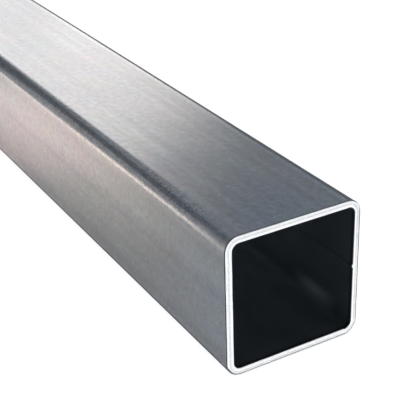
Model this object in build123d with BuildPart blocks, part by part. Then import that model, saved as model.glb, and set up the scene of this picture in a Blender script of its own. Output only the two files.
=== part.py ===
from build123d import *

import os

# A cut length of square steel tube, rolled from flat strip and closed by a seam weld.
# The strip keeps its thickness round the four rolled corners. The weld is planed flush
# outside and leaves a low bead along the middle of one wall inside. Both ends are sawn
# square, and their edges are broken with a deburring wheel.
# The tube lies along X on its lower face. The origin is under the middle of its length.

# Driving dimensions, in millimetres.
side = 50.0  # outside width and height
wall = 2.5  # thickness of the strip
inside_bend_radius = 2.5  # inside each rolled corner
length = 1000.0  # from sawn end to sawn end

bead_width = 1.8  # across the weld bead, where it rises from the wall
bead_height = 0.4  # of its crown over the wall
bead_toe_radius = 0.25  # where each side of the bead runs into the wall
bead_above_middle = 0.7  # of the seam over the middle of its wall

outer_deburr = 0.5  # broken edge round the outside of a sawn end
inner_deburr = 0.25  # broken edge round the bore of a sawn end

# Sizes that follow from these.
bore = side - 2 * wall
outside_bend_radius = inside_bend_radius + wall

# The section is drawn at the lower end of the X axis, with its own x along Y and its
# own y along Z, about the middle of the tube.
section_plane = Plane(
    origin=(-length / 2, 0, side / 2), x_dir=(0, 1, 0), z_dir=(1, 0, 0)
)

# The bead stands on the bore's face on the +Y side and reaches back into the strip.
bead_face = bore / 2
bead_root = bead_face + wall / 2
bead_low = bead_above_middle - bead_width / 2
bead_high = bead_above_middle + bead_width / 2

with BuildPart() as square_tube:
    with BuildSketch(section_plane):
        RectangleRounded(side, side, outside_bend_radius)
        RectangleRounded(bore, bore, inside_bend_radius, mode=Mode.SUBTRACT)
        with BuildLine():
            ThreePointArc(
                (bead_face, bead_low),
                (bead_face - bead_height, bead_above_middle),
                (bead_face, bead_high),
            )
            Polyline(
                (bead_face, bead_high),
                (bead_root, bead_high),
                (bead_root, bead_low),
                (bead_face, bead_low),
            )
        make_face()
        toes = vertices().sort_by_distance((bead_face, bead_above_middle))[:2]
        fillet(toes, bead_toe_radius)
    extrude(amount=length)

    sawn_ends = faces().filter_by(Axis.X)
    outer_edges = [edge for end in sawn_ends for edge in end.outer_wire().edges()]
    inner_edges = [
        edge for end in sawn_ends for rim in end.inner_wires() for edge in rim.edges()
    ]
    chamfer(outer_edges, outer_deburr)
    chamfer(inner_edges, inner_deburr)

square_tube.part.label = "square_tube"

os.makedirs("parts", exist_ok=True)
export_step(square_tube.part, "parts/square_tube.step")
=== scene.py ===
import math
from collections import namedtuple
from functools import cached_property
from types import SimpleNamespace

import bmesh
import bpy
from mathutils import Matrix, Quaternion, Vector


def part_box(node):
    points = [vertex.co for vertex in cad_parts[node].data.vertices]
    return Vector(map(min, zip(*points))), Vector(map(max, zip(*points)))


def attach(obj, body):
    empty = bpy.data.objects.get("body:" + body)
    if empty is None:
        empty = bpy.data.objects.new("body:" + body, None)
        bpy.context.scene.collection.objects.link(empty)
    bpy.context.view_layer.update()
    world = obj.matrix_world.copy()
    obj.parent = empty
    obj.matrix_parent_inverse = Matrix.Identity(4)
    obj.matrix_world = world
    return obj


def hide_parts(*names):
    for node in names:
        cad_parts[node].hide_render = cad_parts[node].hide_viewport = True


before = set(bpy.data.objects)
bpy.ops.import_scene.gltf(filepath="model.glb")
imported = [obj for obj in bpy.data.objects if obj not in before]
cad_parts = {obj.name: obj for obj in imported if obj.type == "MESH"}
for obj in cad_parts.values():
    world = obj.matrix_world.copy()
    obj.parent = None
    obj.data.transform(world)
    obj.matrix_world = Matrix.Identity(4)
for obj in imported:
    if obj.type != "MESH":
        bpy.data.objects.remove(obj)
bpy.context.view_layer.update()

# A length of square steel tube on a pale studio floor. Sizes are in metres and angles in
# degrees. The tube's outside comes from the frame; its other sizes are as in the part.
TUBE_NODE = "square_tube"
TUBE_LOW, TUBE_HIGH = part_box(TUBE_NODE)
TUBE_CENTRE = (TUBE_LOW + TUBE_HIGH) / 2
LENGTH = TUBE_HIGH.x - TUBE_LOW.x
SIDE = TUBE_HIGH.y - TUBE_LOW.y
WALL = 0.0025
CORNER_RADIUS = 0.005
BEAD_WIDTH = 0.0018
BEAD_HEIGHT = 0.0004
BEAD_ABOVE_MIDDLE = 0.0007
OUTER_DEBURR = 0.0005
INNER_DEBURR = 0.00025

FLAT = SIDE / 2 - CORNER_RADIUS  # from the middle of a wall to where its corner starts
BORE = SIDE / 2 - WALL  # from the tube's axis to the middle of an inner wall
LOW_SEAM = (0.65, -0.75)  # across and up, towards the seam's side and the bottom, where the ends take painted shade

# How finely the mesh is divided.
CORNER_STEPS = 12
BEAD_STEPS = 8
OUTER_DEBURR_STEPS = 4
INNER_DEBURR_STEPS = 3
RINGS = 49  # cuts across the tube between its ends
ROUND = 0.5  # the profile of a bevel that is an arc
NEAR = 1e-5  # how far from its place a vertex may be to count as there
SMOOTH_BELOW = 35  # faces that meet at less than this shade as one surface
FLAT_FACE_WEIGHT = 100  # the most, so that the flat walls shade flat

# How much a face looks along the tube: 0 on a wall, 1 on a sawn end, and something between
# on a broken edge. The outer edges are dark, as painted shade, below a limit, which is higher
# on the seam's side and the bottom.
WALL_LIMIT = 0.1
DARK_LIMIT = 0.7
SHADED_SIDE_DARK_LIMIT = 0.9
END_LIMIT = 0.9
SAWN_LIMIT = 0.999


def direction(azimuth, elevation):
    """The way from the tube to something at this azimuth, counted from -Y, and elevation."""
    a, e = math.radians(azimuth), math.radians(elevation)
    return Vector((math.sin(a) * math.cos(e), -math.cos(a) * math.cos(e), math.sin(e)))


# ---------------------------------------------------------------- picking in edit mode


def pick(tube, kind, test):
    """Selects the vertices, edges or faces that pass the test, and nothing else."""
    bpy.ops.mesh.select_mode(type=kind)
    bpy.ops.mesh.select_all(action="DESELECT")
    mesh = bmesh.from_edit_mesh(tube.data)
    for item in {"VERT": mesh.verts, "EDGE": mesh.edges, "FACE": mesh.faces}[kind]:
        if test(item):
            item.select_set(True)
    bmesh.update_edit_mesh(tube.data)


def runs_along(edge):
    a, b = (vertex.co for vertex in edge.verts)
    return (a - b).length > NEAR and (a.yz - b.yz).length < NEAR


def is_end(face):
    return abs(face.normal.x) > END_LIMIT


def faces_out(normal, centre):
    """True on the outer walls, which look away from the tube's axis."""
    out = centre - TUBE_CENTRE
    return normal.y * out.y + normal.z * out.z > 0


def is_rim(edge, outside):
    """True on the edge between a sawn end and the outer or the inner walls."""
    ends = [face for face in edge.link_faces if is_end(face)]
    walls = [face for face in edge.link_faces if not is_end(face)]
    if len(ends) != 1 or len(walls) != 1:
        return False
    return faces_out(walls[0].normal, walls[0].calc_center_median()) == outside


# ---------------------------------------------------------------- the tube


def rolled_section():
    """A block of the outside size, its long corners rolled, its ends opened to a bore."""
    bpy.ops.object.select_all(action="DESELECT")
    bpy.ops.mesh.primitive_cube_add(size=1, location=TUBE_CENTRE, scale=(LENGTH, SIDE, SIDE))
    bpy.ops.object.transform_apply(location=True, rotation=True, scale=True)
    tube = bpy.context.object
    tube.name = "tube"
    bpy.ops.object.mode_set(mode="EDIT")
    pick(tube, "EDGE", runs_along)
    bpy.ops.mesh.bevel(
        offset=CORNER_RADIUS, offset_type="OFFSET", segments=CORNER_STEPS, profile=ROUND
    )
    pick(tube, "FACE", is_end)
    bpy.ops.mesh.inset(thickness=WALL, use_even_offset=True)
    bpy.ops.mesh.bridge_edge_loops()
    return tube


def bead_crown(across):
    """How far the weld bead stands over the wall at this distance from its middle."""
    half = BEAD_WIDTH / 2
    radius = (half**2 + BEAD_HEIGHT**2) / (2 * BEAD_HEIGHT)
    return math.sqrt(radius**2 - across**2) - (radius - BEAD_HEIGHT)


def weld_bead(tube):
    """Cuts the seam wall's inner face into strips and raises them to the bead's crown."""
    middle = TUBE_CENTRE.z + BEAD_ABOVE_MIDDLE

    def on_seam_wall(item):
        centre = item.co if hasattr(item, "co") else item.calc_center_median()
        return abs(centre.y - BORE) < NEAR

    steps = [BEAD_WIDTH * (step / BEAD_STEPS - 0.5) for step in range(BEAD_STEPS + 1)]
    for across in steps:
        pick(tube, "FACE", on_seam_wall)
        bpy.ops.mesh.bisect(plane_co=(0, 0, middle + across), plane_no=(0, 0, 1))
    for across in steps[1:-1]:
        pick(
            tube, "VERT",
            lambda v: on_seam_wall(v) and abs(v.co.z - middle - across) < NEAR,
        )
        bpy.ops.transform.translate(value=(0, -bead_crown(across), 0))


def sawn_ends(tube):
    """Breaks the edges of both ends, outside and round the bore."""
    for outside, offset, steps in (
        (True, OUTER_DEBURR, OUTER_DEBURR_STEPS), (False, INNER_DEBURR, INNER_DEBURR_STEPS),
    ):
        pick(tube, "EDGE", lambda edge: is_rim(edge, outside))
        bpy.ops.mesh.bevel(offset=offset, offset_type="OFFSET", segments=steps, profile=ROUND)


def make_tube():
    """The whole tube, with rings of vertices along it and its flat walls shaded flat."""
    tube = rolled_section()
    weld_bead(tube)
    sawn_ends(tube)
    pick(tube, "EDGE", lambda edge: runs_along(edge) and edge.calc_length() > LENGTH / 2)
    bpy.ops.mesh.subdivide(number_cuts=RINGS)
    bpy.ops.mesh.select_all(action="SELECT")
    bpy.ops.mesh.normals_make_consistent(inside=False)
    bpy.ops.object.mode_set(mode="OBJECT")
    bpy.ops.object.shade_smooth_by_angle(angle=math.radians(SMOOTH_BELOW))
    weights = tube.modifiers.new("flat faces", "WEIGHTED_NORMAL")
    weights.weight = FLAT_FACE_WEIGHT
    weights.keep_sharp = True
    bpy.ops.object.modifier_apply(modifier=weights.name)
    return tube


# ---------------------------------------------------------------- material nodes

# A noise pattern. Along and across are how many features it has in a metre of the tube.
Pattern = namedtuple("Pattern", "along across detail seed")
NOISE_LOW = 0.3  # nearly all of a noise lies between these two
NOISE_HIGH = 0.7
MIDDLE_GREY = (0.5, 0.5, 0.5)

# A Mix node has sockets of the same names for numbers and for colours, so they go by place.
NUMBER_A = 2
NUMBER_B = 3
NUMBER_OUT = 0
COLOUR_A = 6
COLOUR_B = 7
COLOUR_OUT = 2


def half_tone(tone):
    """A grey of half the tone, because a colour stop can't hold a tone over 1."""
    return (tone / 2, tone / 2, tone / 2, 1)


def fill(node, sockets):
    """Gives each socket a number or colour, or links it to the output that feeds it."""
    for name, value in sockets.items():
        socket = node.inputs[name]
        if isinstance(value, bpy.types.NodeSocket):
            node.id_data.links.new(value, socket)
        elif socket.type == "RGBA":
            socket.default_value = (*value, 1)
        else:
            socket.default_value = value


def add_node(tree, kind, sockets, **settings):
    """Adds a node. Its settings come before its sockets, because they can change those."""
    node = tree.nodes.new(kind)
    for name, value in settings.items():
        setattr(node, name, value)
    fill(node, sockets)
    return node


class Finish:
    """A new material and its node tree, with short calls that add nodes."""

    def __init__(self, name):
        self.material = bpy.data.materials.new(name)
        self.material.use_nodes = True
        self.tree = self.material.node_tree

    def node(self, kind, sockets, **settings):
        return add_node(self.tree, kind, sockets, **settings)

    def surface(self, **sockets):
        """Sets the shader's sockets and returns the material. An underscore is a space."""
        shader = self.tree.nodes["Principled BSDF"]
        fill(shader, {name.replace("_", " "): value for name, value in sockets.items()})
        return self.material

    @cached_property
    def place(self):
        return self.node("ShaderNodeTexCoord", {}).outputs["Object"]

    def tube_place(self):
        """Where a place is along the tube, across it and up it, each from its middle."""
        parts = self.node("ShaderNodeSeparateXYZ", {"Vector": self.place}).outputs
        return parts["X"], parts["Y"], self.math("SUBTRACT", parts["Z"], TUBE_CENTRE.z)

    def from_ends(self, along):
        """How far a place is from the nearer end."""
        return self.math("SUBTRACT", LENGTH / 2, self.absolute(along))

    def math(self, operation, a, b=0, c=0):
        return self.node("ShaderNodeMath", {0: a, 1: b, 2: c}, operation=operation).outputs[0]

    def absolute(self, value):
        return self.math("ABSOLUTE", value)

    def times(self, product, *factors):
        for factor in factors:
            product = self.math("MULTIPLY", product, factor)
        return product

    def ramp(self, value, low, high, at_low, at_high):
        """Goes smoothly from at_low to at_high as the value goes from low to high."""
        ends = {"From Min": low, "From Max": high, "To Min": at_low, "To Max": at_high}
        ramp = self.node(
            "ShaderNodeMapRange", {"Value": value, **ends}, interpolation_type="SMOOTHSTEP"
        )
        return ramp.outputs["Result"]

    def rise(self, value, low, high):
        return self.ramp(value, low, high, 0, 1)

    def fall(self, value, low, high):
        return self.ramp(value, low, high, 1, 0)

    def band(self, value, middle, half, soft):
        """1 within half of the middle, falling to 0 over the soft distance outside it."""
        away = self.absolute(self.math("SUBTRACT", value, middle))
        return self.fall(away, half, half + soft)

    def on(self, mark, factor):
        """The factor where the mark is 1, easing to 1 where there is no mark."""
        return self.ramp(mark, 0, 1, 1, factor)

    def between(self, factor, a, b):
        """Goes in a straight line from the number a to b as the factor goes from 0 to 1."""
        ends = {NUMBER_A: a, NUMBER_B: b}
        mix = self.node("ShaderNodeMix", {0: factor, **ends}, clamp_factor=False)
        return mix.outputs[NUMBER_OUT]

    def blend(self, factor, a, b):
        """Mixes two colours."""
        ends = {COLOUR_A: a, COLOUR_B: b}
        mix = self.node("ShaderNodeMix", {0: factor, **ends}, data_type="RGBA")
        return mix.outputs[COLOUR_OUT]

    def shade(self, colour, factor):
        """Makes a colour lighter or darker by a factor."""
        scaled = self.node(
            "ShaderNodeVectorMath", {"Vector": colour, "Scale": factor}, operation="SCALE"
        )
        return scaled.outputs[0]

    def noise_outputs(self, pattern):
        scale = (pattern.along, pattern.across, pattern.across)
        scaled = self.node(
            "ShaderNodeMapping",
            {"Vector": self.place, "Scale": scale, "Location": (pattern.seed, 0, 0)},
        )
        texture = self.node(
            "ShaderNodeTexNoise",
            {"Vector": scaled.outputs[0], "Scale": 1, "Detail": pattern.detail},
        )
        return texture.outputs

    def noise(self, pattern):
        """Noise from 0 to 1, mostly near its middle."""
        return self.noise_outputs(pattern)["Fac"]

    def swing(self, noise, middle, reach):
        """Swings with the noise about the middle, by the reach at most."""
        ends = {"From Min": NOISE_LOW, "From Max": NOISE_HIGH, "To Min": -1, "To Max": 1}
        swung = self.node("ShaderNodeMapRange", {"Value": noise, **ends})
        return self.math("MULTIPLY_ADD", swung.outputs["Result"], reach, middle)

    def tinted(self, colour, pattern, strength):
        """Shifts a colour's red, green and blue apart in soft patches."""
        centred = self.node(
            "ShaderNodeVectorMath",
            {0: self.noise_outputs(pattern)["Color"], 1: MIDDLE_GREY},
            operation="SUBTRACT",
        )
        shifted = self.node(
            "ShaderNodeVectorMath",
            {0: centred.outputs[0], 1: (strength, strength, strength), 2: colour},
            operation="MULTIPLY_ADD",
        )
        return shifted.outputs[0]

    def streaks(self, from_middle, marks):
        """1 between the marks, easing to each mark's tone at its place across a wall."""
        across_wall = self.math("MULTIPLY_ADD", from_middle, 1 / SIDE, 0.5)
        ramp = self.node("ShaderNodeValToRGB", {"Fac": across_wall})
        ramp.color_ramp.interpolation = "EASE"
        stops = ramp.color_ramp.elements
        stops.remove(stops[1])
        stops[0].color = half_tone(1)
        for middle, reach, tone in marks:
            for where, shade in ((middle - reach, 1), (middle, tone), (middle + reach, 1)):
                stops.new(where + 0.5).color = half_tone(shade)
        return self.times(ramp.outputs["Color"], 2)

    def relief(self, *layers):
        """Bump upon bump: each layer is a height from 0 to 1 and its depth in metres."""
        under = {}
        for height, depth in layers:
            bump = self.node("ShaderNodeBump", {"Height": height, "Distance": depth, **under})
            under = {"Normal": bump.outputs[0]}
        return bump.outputs[0]


# ---------------------------------------------------------------- rolled steel

ROLLING_LINES = Pattern(along=12, across=420, detail=3, seed=0)
GRAIN = Pattern(along=430, across=480, detail=4, seed=17)
FLECKS = Pattern(along=1900, across=2300, detail=0, seed=29)
CLOUDS = Pattern(along=22, across=60, detail=3, seed=7)
SMEARS = Pattern(along=70, across=28, detail=2, seed=23)
STREAK_FADES = Pattern(along=9, across=5, detail=2, seed=41)
TINT_PATCHES = Pattern(along=40, across=90, detail=2, seed=31)
TINT_SPECKS = Pattern(along=330, across=380, detail=2, seed=37)
DENTS = Pattern(along=28, across=40, detail=1, seed=5)
LONG_DENTS = Pattern(along=14, across=150, detail=2, seed=13)

# Soft streaks that the forming rolls left along the walls: where each is across its wall, in
# sides from the middle, how far it reaches to either side, and its tone against plain steel.
LEVEL_WALL_STREAKS = (
    (-0.355, 0.045, 1.06), (-0.22, 0.035, 1.06), (-0.14, 0.045, 0.96), (0.16, 0.07, 1.05),
    (0.27, 0.03, 1.06), (0.39, 0.03, 1.12),
)
UPRIGHT_WALL_STREAKS = (
    (-0.34, 0.06, 0.93), (-0.24, 0.04, 1.03), (0.045, 0.05, 0.94), (0.18, 0.08, 1.04),
    (0.33, 0.06, 0.90),
)
STREAK_FADE = 0.4

# Where the marks ease in or out, from the middle of the tube's section.
ROLLED_CORNER = (FLAT - 0.001, FLAT + 0.001)
PAST_CORNER = (FLAT, FLAT + 0.001)
SEAM_WALL = (SIDE / 2 - 0.001, SIDE / 2 - 0.0005)
# Painted shade along the top corner on the seam's side.
SEAM_CORNER_SHADE = (0.0199, 0.0208)
# Painted shade along the lower corners, next to the floor.
LOW_CORNER_SHADE = (-0.0215, -0.0204)
LESS_ON_CORNERS_BY_CUT = (0.010, FLAT + 0.001)

# The same from the nearer end.
CORNER_POLISH = (0.004, 0.028)
RUBBED_LINE = (0.008, 0.03)
# Near the cut ends the steel turns bluer, with painted shade on the level walls and painted
# light on the upright ones.
NEAR_CUT_SPAN = (0, 0.045)
COARSE_UPRIGHT = (0.02, 0.16)

# Bands along the tube: half of the width, and the soft edge outside it.
PLANED_SEAM = (0.0016, 0.0003)
HEATED_SEAM = (0.002, 0.005)
RUBBED_BAND = (0.0005, 0.0008)
RUBBED_HEIGHT = 0.0205

PLAIN_STEEL = (0.66, 0.66, 0.66)
HEATED_STEEL = (0.66, 0.635, 0.60)
# Near the cuts: the level walls darker as painted shade, the upright walls lighter as painted
# light.
SHADED_LEVEL_WALL_BY_CUT = (0.575, 0.61, 0.65)
LIT_UPRIGHT_WALL_BY_CUT = (0.665, 0.705, 0.745)
CORNER_SHARE_BY_CUT = 0.45
TINT_PATCH_STRENGTH = 0.08
TINT_SPECK_STRENGTH = 0.075

# How far each pattern swings the tone to either side, and the tone of each mark.
LINE_TONE = 0.025
CLOUD_TONE = 0.03
SMEAR_TONE = 0.02
FINE_GRAIN_TONE = 0.075
COARSE_GRAIN_TONE = 0.11
CORNER_GRAIN_TONE = 0.1
FINE_FLECK_TONE = 0.07
COARSE_FLECK_TONE = 0.11
CORNER_FLECK_TONE = 0.25
SEAM_TONE = 1.07
# These two are painted shade: on the lower corners, and on the top corner on the seam's side.
LOW_CORNER_SHADE_TONE = 0.35
SEAM_CORNER_SHADE_TONE = 0.65

# Plain steel's roughness, its swing with the clouds, and each mark's factor on it.
STEEL_ROUGHNESS = 0.265
CLOUD_ROUGHNESS = 0.008
BURNISHED_ROUGHNESS = 0.62
RUBBED_ROUGHNESS = 0.82
SEAM_ROUGHNESS = 0.75
# The painted shade on the lower corners is also rougher and hardly metal.
LOW_CORNER_SHADE_ROUGHNESS = 2.5
LOW_CORNER_SHADE_METAL = 0.1
STEEL_ANISOTROPY = 0.875

DENT_DEPTH = 0.00006
LONG_DENT_DEPTH = 0.00012
LINE_DEPTH = 0.000003
GRAIN_DEPTH = 0.0000013
SEAM_DEPTH = 0.00002


def rolled_marks(finish):
    """Where the rolled steel is rounded, welded, cut or rubbed, and where it takes painted
    light and shade, from 0 to 1.

    Sideways and height are distances from the middle of the section. The grain is coarse by
    the cuts on the level walls, and away from the cuts on the upright ones.
    """
    along, sideways, height = finish.tube_place()
    across, up = finish.absolute(sideways), finish.absolute(height)
    nearer_middle = finish.math("MINIMUM", across, up)
    from_end = finish.from_ends(along)
    upright = finish.math("GREATER_THAN", across, up)
    corner = finish.rise(nearer_middle, *ROLLED_CORNER)
    by_cut = finish.fall(from_end, *NEAR_CUT_SPAN)
    seam_wall = finish.rise(sideways, *SEAM_WALL)
    return SimpleNamespace(
        sideways=sideways,
        height=height,
        upright=upright,
        corner=corner,
        burnished=finish.times(corner, finish.rise(from_end, *CORNER_POLISH)),
        coarse=finish.between(upright, by_cut, finish.rise(from_end, *COARSE_UPRIGHT)),
        cut_tint_and_painted_light=finish.times(
            by_cut, finish.ramp(nearer_middle, *LESS_ON_CORNERS_BY_CUT, 1, CORNER_SHARE_BY_CUT)
        ),
        seam=finish.times(seam_wall, finish.band(height, BEAD_ABOVE_MIDDLE, *PLANED_SEAM)),
        heated=finish.times(seam_wall, finish.band(height, BEAD_ABOVE_MIDDLE, *HEATED_SEAM)),
        rubbed=finish.times(
            upright, finish.band(height, RUBBED_HEIGHT, *RUBBED_BAND),
            finish.rise(from_end, *RUBBED_LINE),
        ),
        shaded_low_corners=finish.times(
            finish.rise(across, *PAST_CORNER), finish.fall(height, *LOW_CORNER_SHADE)
        ),
        shaded_seam_corner=finish.times(
            finish.rise(height, *PAST_CORNER), finish.rise(sideways, *SEAM_CORNER_SHADE)
        ),
    )


def rolling_streaks(finish, marks):
    """The streaks of the level and the upright walls, stronger and fainter in places."""
    streaks = finish.between(
        marks.upright,
        finish.streaks(marks.sideways, LEVEL_WALL_STREAKS),
        finish.streaks(marks.height, UPRIGHT_WALL_STREAKS),
    )
    strength = finish.swing(finish.noise(STREAK_FADES), 1, STREAK_FADE)
    return finish.between(strength, 1, streaks)


def rolled_tone(finish, marks, lines, grain, clouds):
    """How light the rolled steel is against its plain colour."""
    grain_tone = finish.between(marks.coarse, FINE_GRAIN_TONE, COARSE_GRAIN_TONE)
    grain_tone = finish.ramp(marks.corner, 0, 1, grain_tone, CORNER_GRAIN_TONE)
    fleck_tone = finish.between(marks.coarse, FINE_FLECK_TONE, COARSE_FLECK_TONE)
    fleck_tone = finish.ramp(marks.burnished, 0, 1, fleck_tone, CORNER_FLECK_TONE)
    return finish.times(
        finish.swing(lines, 1, LINE_TONE),
        finish.swing(clouds, 1, CLOUD_TONE),
        finish.swing(finish.noise(SMEARS), 1, SMEAR_TONE),
        finish.swing(finish.noise(FLECKS), 1, fleck_tone),
        finish.swing(grain, 1, grain_tone),
        finish.on(marks.seam, SEAM_TONE),
        rolling_streaks(finish, marks),
        # Painted shade along the lower corners and along the top corner on the seam's side.
        finish.on(marks.shaded_low_corners, LOW_CORNER_SHADE_TONE),
        finish.on(marks.shaded_seam_corner, SEAM_CORNER_SHADE_TONE),
    )


def rolled_colour(finish, marks):
    """Grey, straw by the weld's heat, bluer near the cuts, and nowhere quite even."""
    steel = finish.blend(marks.heated, PLAIN_STEEL, HEATED_STEEL)
    # Near the cuts: bluer, painted shade on the level walls and painted light on the upright
    # ones.
    cut_tint_and_painted_light = finish.blend(marks.upright, SHADED_LEVEL_WALL_BY_CUT, LIT_UPRIGHT_WALL_BY_CUT)
    steel = finish.blend(marks.cut_tint_and_painted_light, steel, cut_tint_and_painted_light)
    steel = finish.tinted(steel, TINT_PATCHES, TINT_PATCH_STRENGTH)
    return finish.tinted(steel, TINT_SPECKS, TINT_SPECK_STRENGTH)


def rolled_steel():
    """Cold-rolled steel: a fine grain, faint rolling lines, burnished corners, a seam."""
    finish = Finish("rolled steel")
    marks = rolled_marks(finish)
    lines, grain, clouds = (finish.noise(p) for p in (ROLLING_LINES, GRAIN, CLOUDS))
    tone = rolled_tone(finish, marks, lines, grain, clouds)
    roughness = finish.times(
        finish.swing(clouds, STEEL_ROUGHNESS, CLOUD_ROUGHNESS),
        finish.on(marks.burnished, BURNISHED_ROUGHNESS),
        finish.on(marks.rubbed, RUBBED_ROUGHNESS),
        finish.on(marks.seam, SEAM_ROUGHNESS),
        finish.on(marks.shaded_low_corners, LOW_CORNER_SHADE_ROUGHNESS),
    )
    relief = finish.relief(
        (finish.noise(DENTS), DENT_DEPTH),
        (finish.noise(LONG_DENTS), LONG_DENT_DEPTH),
        (lines, LINE_DEPTH),
        (grain, GRAIN_DEPTH),
        (marks.seam, SEAM_DEPTH),
    )
    round_tube = finish.node("ShaderNodeTangent", {}, direction_type="RADIAL", axis="X")
    # The metallic and roughness also carry the painted shade on the lower corners.
    return finish.surface(
        Base_Color=finish.shade(rolled_colour(finish, marks), tone),
        Metallic=finish.on(marks.shaded_low_corners, LOW_CORNER_SHADE_METAL), Roughness=roughness,
        Anisotropic=STEEL_ANISOTROPY, Normal=relief, Tangent=round_tube.outputs[0],
    )


# ---------------------------------------------------------------- sawn ends

SAW_LINES = Pattern(along=60, across=1300, detail=2, seed=0)
DULL_PATCHES = Pattern(along=300, across=900, detail=1, seed=0)

# The dull line along the middle of the cut wall: its place, half width and soft edge.
DULL_LINE = (WALL * 0.47, WALL * 0.05, WALL * 0.17)
DULL_STRENGTH = 0.85
DULL_UNEVENNESS = 0.3
SHADED_SIDES = (-0.001, 0.001)  # from the tube's axis, towards the sides with painted shade
SHADED_RIM = (OUTER_DEBURR, OUTER_DEBURR + 0.0003)  # into the wall

CUT_STEEL = (0.93, 0.92, 0.92)
SAW_LINE_TONE = 0.045
DULL_TONE = 0.79
SHADED_RIM_TONE = 0.3
CUT_ROUGHNESS = 0.5
SAW_LINE_ROUGHNESS = 0.04
SAW_LINE_DEPTH = 0.00001


def into_wall(finish, across, up):
    """How far a place on a sawn end is in from the tube's outside."""
    past_flat_y, past_flat_z = (
        finish.math("MAXIMUM", finish.math("SUBTRACT", value, FLAT), 0) for value in (across, up)
    )
    squares = finish.math(
        "MULTIPLY_ADD", past_flat_y, past_flat_y, finish.times(past_flat_z, past_flat_z)
    )
    return finish.math("SUBTRACT", CORNER_RADIUS, finish.math("SQRT", squares))


def sawn_steel():
    """A bright cut face with fine saw lines, duller along the middle of the wall, and painted
    shade on its outer rim on the seam's side and the bottom.
    """
    finish = Finish("sawn steel")
    _, sideways, height = finish.tube_place()
    inwards = into_wall(finish, finish.absolute(sideways), finish.absolute(height))
    dull = finish.times(
        finish.band(inwards, *DULL_LINE),
        finish.swing(finish.noise(DULL_PATCHES), DULL_STRENGTH, DULL_UNEVENNESS),
    )
    toward_low_seam = finish.math(
        "MULTIPLY_ADD", sideways, LOW_SEAM[0], finish.times(height, LOW_SEAM[1])
    )
    # Painted shade on the end's outer rim, on the seam's side and the bottom.
    painted_shade_side = finish.times(
        finish.rise(toward_low_seam, *SHADED_SIDES), finish.fall(inwards, *SHADED_RIM)
    )
    lines = finish.noise(SAW_LINES)
    tone = finish.times(
        finish.swing(lines, 1, SAW_LINE_TONE), finish.on(dull, DULL_TONE),
        finish.on(painted_shade_side, SHADED_RIM_TONE),
    )
    return finish.surface(
        Base_Color=finish.shade(CUT_STEEL, tone), Metallic=1,
        Roughness=finish.swing(lines, CUT_ROUGHNESS, SAW_LINE_ROUGHNESS),
        Normal=finish.relief((lines, SAW_LINE_DEPTH)),
    )


# ---------------------------------------------------------------- broken edges

NICKS = Pattern(along=500, across=500, detail=2, seed=0)
# Near black, as painted shade on the broken edges.
EDGE_SHADE_COLOUR = (0.03, 0.036, 0.046)
NICK_TONE = 0.2
EDGE_ROUGHNESS = 0.6
EDGE_SPECULAR = 0.15
NICK_DEPTH = 0.00003


def broken_edge():
    """The deburred edges, dark as painted shade: the outer part of the outer edge all round,
    and the inner edge on the seam's side.
    """
    finish = Finish("broken edge")
    nicks = finish.noise(NICKS)
    return finish.surface(
        Base_Color=finish.shade(EDGE_SHADE_COLOUR, finish.swing(nicks, 1, NICK_TONE)), Metallic=0,
        Roughness=EDGE_ROUGHNESS, Specular_IOR_Level=EDGE_SPECULAR,
        Normal=finish.relief((nicks, NICK_DEPTH)),
    )


# ---------------------------------------------------------------- bore

SCALE_PATCHES = Pattern(along=60, across=120, detail=3, seed=0)

# Where the marks ease in, across the tube and then from the nearer end.
BEAD_SIDE = (BORE - 0.0006, BORE - 0.0001)
SEAM_SIDE = (0.0205, 0.0225)
# Lighter inwards as painted light, and darkest right at the mouth as painted shade.
LIGHTER_INWARD = (0.002, 0.07)
MOUTH = (0.0006, 0.002)

# How the scale's tone changes from the nearer end inwards, as painted light and shade: from
# where to where, and its tones.
SEAM_SIDE_DEPTH = (0, 0.06)
SEAM_SIDE_TONE = (0.82, 1.4)
OTHER_SIDES_DEPTH = (0.01, 0.035)
OTHER_SIDES_TONE = (1.42, 1.24)

# Bands: their middle, half width and soft edge.
BEAD_BAND = (BEAD_ABOVE_MIDDLE, BEAD_WIDTH / 2, 0.0004)
# A painted highlight along the bore's lower corner on the seam's side.
HIGHLIGHT_FROM_END = (0.021, 0.0005, 0.014)
HIGHLIGHT_UP = (-0.0187, 0.0002, 0.0045)

# The scale's own dark colour; its lightening inwards is painted light.
SCALE_AT_MOUTH = (0.030, 0.037, 0.043)
SCALE_INSIDE = (0.105, 0.130, 0.155)
BEAD_TINT = (0.035, 0.036, 0.038)
BEAD_STRENGTH = 0.2
# The painted highlight's colour and strength.
HIGHLIGHT_COLOUR = (0.185, 0.22, 0.235)
HIGHLIGHT_STRENGTH = 0.8
SCALE_TONE = 0.15
MOUTH_TONE = 0.15
SCALE_ROUGHNESS = 0.6
PATCH_ROUGHNESS = 0.05
SCALE_SPECULAR = 0.3
SCALE_DEPTH = 0.00003


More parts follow.
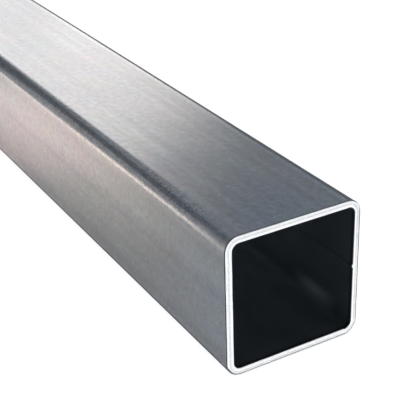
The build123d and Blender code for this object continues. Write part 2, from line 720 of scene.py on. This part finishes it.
def bore_scale():
    """The dark mill scale inside the tube, with painted shade at its mouths, painted light
    deeper in, a painted highlight low on the seam's side, and a tinted weld bead.
    """
    finish = Finish("bore scale")
    along, sideways, height = finish.tube_place()
    depth = finish.from_ends(along)
    patches = finish.noise(SCALE_PATCHES)
    seam_side = finish.rise(sideways, *SEAM_SIDE)
    bead = finish.times(
        finish.rise(sideways, *BEAD_SIDE), finish.band(height, *BEAD_BAND), BEAD_STRENGTH
    )
    # Painted highlight along the bore's lower corner on the seam's side.
    painted_corner_highlight = finish.times(
        finish.band(depth, *HIGHLIGHT_FROM_END), finish.band(height, *HIGHLIGHT_UP), seam_side,
        HIGHLIGHT_STRENGTH,
    )
    # Painted light and shade: tones that even out how light falls into the bore.
    tone = finish.times(
        finish.swing(patches, 1, SCALE_TONE),
        finish.between(
            seam_side,
            finish.ramp(depth, *OTHER_SIDES_DEPTH, *OTHER_SIDES_TONE),
            finish.ramp(depth, *SEAM_SIDE_DEPTH, *SEAM_SIDE_TONE),
        ),
        finish.ramp(depth, *MOUTH, MOUTH_TONE, 1),
    )
    colour = finish.blend(finish.rise(depth, *LIGHTER_INWARD), SCALE_AT_MOUTH, SCALE_INSIDE)
    colour = finish.blend(bead, colour, BEAD_TINT)
    colour = finish.blend(painted_corner_highlight, colour, HIGHLIGHT_COLOUR)
    return finish.surface(
        Base_Color=finish.shade(colour, tone), Metallic=0,
        Roughness=finish.swing(patches, SCALE_ROUGHNESS, PATCH_ROUGHNESS),
        Specular_IOR_Level=SCALE_SPECULAR, Normal=finish.relief((patches, SCALE_DEPTH)),
    )


# ---------------------------------------------------------------- finishing the tube

ROLLED, SAWN, BROKEN, SCALE = range(4)


def finish_of(face):
    """Which finish a face of the tube takes, from where it is and the way it looks."""
    out = face.center - TUBE_CENTRE
    outside = faces_out(face.normal, face.center)
    looks_along = abs(face.normal.x)
    if looks_along > SAWN_LIMIT:
        return SAWN
    if looks_along <= WALL_LIMIT:
        return ROLLED if outside else SCALE
    if not outside:
        return BROKEN if out.y > FLAT else SAWN
    # On the seam's side and the bottom more of the outer edge is dark, as painted shade.
    painted_shade_side = LOW_SEAM[0] * out.y + LOW_SEAM[1] * out.z > 0
    return BROKEN if looks_along < (SHADED_SIDE_DARK_LIMIT if painted_shade_side else DARK_LIMIT) else SAWN


def finish_tube(tube):
    """Gives the outside, the sawn ends, their broken edges and the bore their finishes."""
    for material in (rolled_steel(), sawn_steel(), broken_edge(), bore_scale()):
        tube.data.materials.append(material)
    for face in tube.data.polygons:
        face.material_index = finish_of(face)


# ---------------------------------------------------------------- studio

# The camera looks at the tube's near end from its open side, rolled a little. It stands
# aside of the near end's middle and above it by VIEW_RIGHT and VIEW_UP, in its own frame.
NEAR_END = Vector((TUBE_HIGH.x, TUBE_CENTRE.y, TUBE_CENTRE.z))
VIEW_AZIMUTH = 60.83
VIEW_ELEVATION = 27.26
VIEW_ROLL = -2.0
VIEW_DISTANCE = 0.33127
VIEW_RIGHT = -0.02951
VIEW_UP = 0.02761
SENSOR = 36.0
LENS = 95.51
NEAR_CLIP = 0.01
FAR_CLIP = 100

WHITE = (1, 1, 1)
ROOM = (0.105, 0.119, 0.139)
FLOOR_SIZE = 80
FLOOR_GAP = 0.0002
FLOOR_SHADE = 0.85
FLOOR_LIFT_SEEN = 0.88  # how brightly the floor glows by itself where it is looked at
FLOOR_LIFT_IN_METAL = 0.106  # the same where steel mirrors it
SPOT_DISTANCE = 1.5
SHARP = 0.01  # how much of a spot lamp's round fades towards its rim
FADING = 1


def add_camera():
    turn = (
        Matrix.Rotation(math.radians(VIEW_AZIMUTH), 4, "Z")
        @ Matrix.Rotation(math.radians(90 - VIEW_ELEVATION), 4, "X")
        @ Matrix.Rotation(math.radians(VIEW_ROLL), 4, "Z")
    )
    place = NEAR_END + turn @ Vector((VIEW_RIGHT, VIEW_UP, VIEW_DISTANCE))
    bpy.ops.object.camera_add()
    camera = bpy.context.object
    camera.matrix_world = Matrix.Translation(place) @ turn
    camera.data.sensor_width = SENSOR
    camera.data.lens = LENS
    camera.data.clip_start = NEAR_CLIP
    camera.data.clip_end = FAR_CLIP
    bpy.context.scene.camera = camera


def add_world():
    """A dim room all round, which the camera sees as white."""
    world = bpy.data.worlds.new("studio")
    bpy.context.scene.world = world
    world.use_nodes = True
    tree = world.node_tree
    room = tree.nodes["Background"]
    fill(room, {"Color": ROOM, "Strength": 1})
    white = add_node(tree, "ShaderNodeBackground", {"Color": WHITE, "Strength": 1})
    seen = add_node(tree, "ShaderNodeLightPath", {}).outputs["Is Camera Ray"]
    mix = add_node(
        tree, "ShaderNodeMixShader", {0: seen, 1: room.outputs[0], 2: white.outputs[0]}
    )
    fill(tree.nodes["World Output"], {"Surface": mix.outputs[0]})


def floor_paper():
    """Pale paper that shows as white where it is looked at, and much darker in metal."""
    finish = Finish("floor paper")
    rays = finish.node("ShaderNodeLightPath", {}).outputs
    seen = finish.math("MAXIMUM", rays["Is Camera Ray"], rays["Is Transmission Ray"])
    lift = finish.math(
        "MULTIPLY_ADD", rays["Is Glossy Ray"], FLOOR_LIFT_IN_METAL,
        finish.times(seen, FLOOR_LIFT_SEEN),
    )
    return finish.surface(
        Base_Color=(FLOOR_SHADE, FLOOR_SHADE, FLOOR_SHADE), Roughness=1,
        Specular_IOR_Level=0, Emission_Color=WHITE, Emission_Strength=lift,
    )


def add_floor():
    bpy.ops.object.select_all(action="DESELECT")
    bpy.ops.mesh.primitive_plane_add(size=FLOOR_SIZE, location=(0, 0, TUBE_LOW.z - FLOOR_GAP))
    bpy.ops.object.transform_apply(location=True, rotation=True, scale=True)
    floor = bpy.context.object
    floor.name = "studio_floor"
    floor.data.materials.append(floor_paper())


def add_lamp(kind, name, place, way, tint):
    """A lamp at this place, which shines back along the way that leads out to it."""
    bpy.ops.object.light_add(type=kind, location=place)
    lamp = bpy.context.object
    lamp.name = name
    lamp.rotation_mode = "QUATERNION"
    lamp.rotation_quaternion = way.to_track_quat("Z", "Y")
    lamp.data.color = tint
    return lamp


def softbox(
    name, azimuth, elevation, width, height, radiance,
    distance=2.5, tint=WHITE, disk=False, spread=180,
):
    """A soft lamp of this radiance, seen from the near end in this direction."""
    way = direction(azimuth, elevation)
    lamp = add_lamp("AREA", name, NEAR_END + way * distance, way, tint)
    lamp.data.shape = "ELLIPSE" if disk else "RECTANGLE"
    lamp.data.size = width
    lamp.data.size_y = height
    lamp.data.spread = math.radians(spread)
    area = width * height * (math.pi / 4 if disk else 1)
    half = math.radians(spread) / 2
    # A spread under 180 dims the lamp's edges and brightens its middle by this much.
    gathered = 1 if spread == 180 else math.tan(half) / (math.tan(half) - half)
    lamp.data.energy = radiance * math.pi * area / gathered
    lamp.visible_camera = False


def spot_on_floor(name, x, y, radius, azimuth, elevation, radiance, tint=WHITE, fade=SHARP):
    """A spot lamp in this direction from a round of floor, lit to this radiance."""
    way = direction(azimuth, elevation)
    lamp = add_lamp("SPOT", name, Vector((x, y, 0)) + way * SPOT_DISTANCE, way, tint)
    lamp.data.spot_size = 2 * math.atan(radius / SPOT_DISTANCE)
    lamp.data.spot_blend = fade
    lamp.data.shadow_soft_size = 0
    aslant = FLOOR_SHADE * math.sin(math.radians(elevation))
    lamp.data.energy = 4 * (math.pi * SPOT_DISTANCE) ** 2 * radiance / aslant
    return lamp


def floor_pool(name, x, y, radius_x, radius_y, radiance, turn=0, tint=WHITE):
    """A spot lamp straight over the floor, which lights an oval that fades to its rim."""
    widest = max(radius_x, radius_y)
    lamp = spot_on_floor(
        name, x, y, widest, azimuth=0, elevation=90, radiance=radiance, tint=tint, fade=FADING
    )
    lamp.rotation_quaternion = Quaternion((0, 0, 1), math.radians(turn))
    lamp.scale = (radius_x / widest, radius_y / widest, 1)


def light_near_end():
    """Windows and cards that the walls mirror, and pools of light on the floor by them."""
    softbox(
        "back window", azimuth=-104.4, elevation=16, width=1.24, height=1.24,
        radiance=1.311, tint=(1, 0.966, 0.955), disk=True, spread=44,
    )
    softbox(
        "window core", azimuth=-117.2, elevation=15.8, width=0.59, height=0.59,
        radiance=0.80, tint=(1, 0.907, 0.860), disk=True,
    )
    softbox(
        "high card", azimuth=-135.6, elevation=42.6, width=5.0, height=3.0,
        radiance=0.120, tint=(0.846, 0.926, 1),
    )
    softbox(
        "left card", azimuth=-55.5, elevation=3.1, width=0.65, height=1.04,
        radiance=0.173, distance=2.0, tint=(1, 0.953, 0.943),
    )
    softbox(
        "front window", azimuth=135, elevation=22, width=2.6, height=1.8,
        radiance=0.49, distance=2.2,
    )
    softbox("near window", azimuth=77, elevation=24, width=1.6, height=1.2, radiance=1.75)
    floor_pool(
        "long pool", x=0.2105, y=-0.2405, radius_x=0.30, radius_y=0.1275,
        radiance=0.591, turn=48, tint=(1, 0.880, 0.716),
    )
    floor_pool(
        "side pool", x=0.057, y=-0.057, radius_x=0.2625, radius_y=0.0345,
        radiance=0.975, tint=(1, 0.913, 0.823),
    )
    floor_pool(
        "near pool", x=0.272, y=-0.0885, radius_x=0.092, radius_y=0.09,
        radiance=0.494, tint=(1, 0.732, 0.712),
    )
    spot_on_floor(
        "front pool", x=0.796, y=0, radius=0.307, azimuth=-90, elevation=78,
        radiance=0.783, tint=(0.960, 0.997, 1),
    )


def light_other_sides():
    """Light for the far end, the seam's side and the walls as seen from elsewhere."""
    softbox("rear window", azimuth=-146, elevation=25, width=0.7, height=1.0, radiance=0.8)
    softbox("side window", azimuth=0, elevation=10, width=2.4, height=0.9, radiance=0.8)
    softbox("low window", azimuth=42, elevation=16, width=1.2, height=0.9, radiance=0.6)
    floor_pool("rear pool", x=-0.3, y=-0.09, radius_x=0.33, radius_y=0.065, radiance=0.8)
    floor_pool("seam pool", x=-0.3, y=0.12, radius_x=0.33, radius_y=0.11, radiance=0.8)
    spot_on_floor(
        "far pool", x=-0.796, y=0, radius=0.307, azimuth=90, elevation=78, radiance=0.79
    )


tube = make_tube()
finish_tube(tube)
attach(tube, "root")
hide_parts(TUBE_NODE)

add_camera()
add_world()
add_floor()
light_near_end()
light_other_sides()
bpy.context.scene.view_settings.view_transform = "Standard"
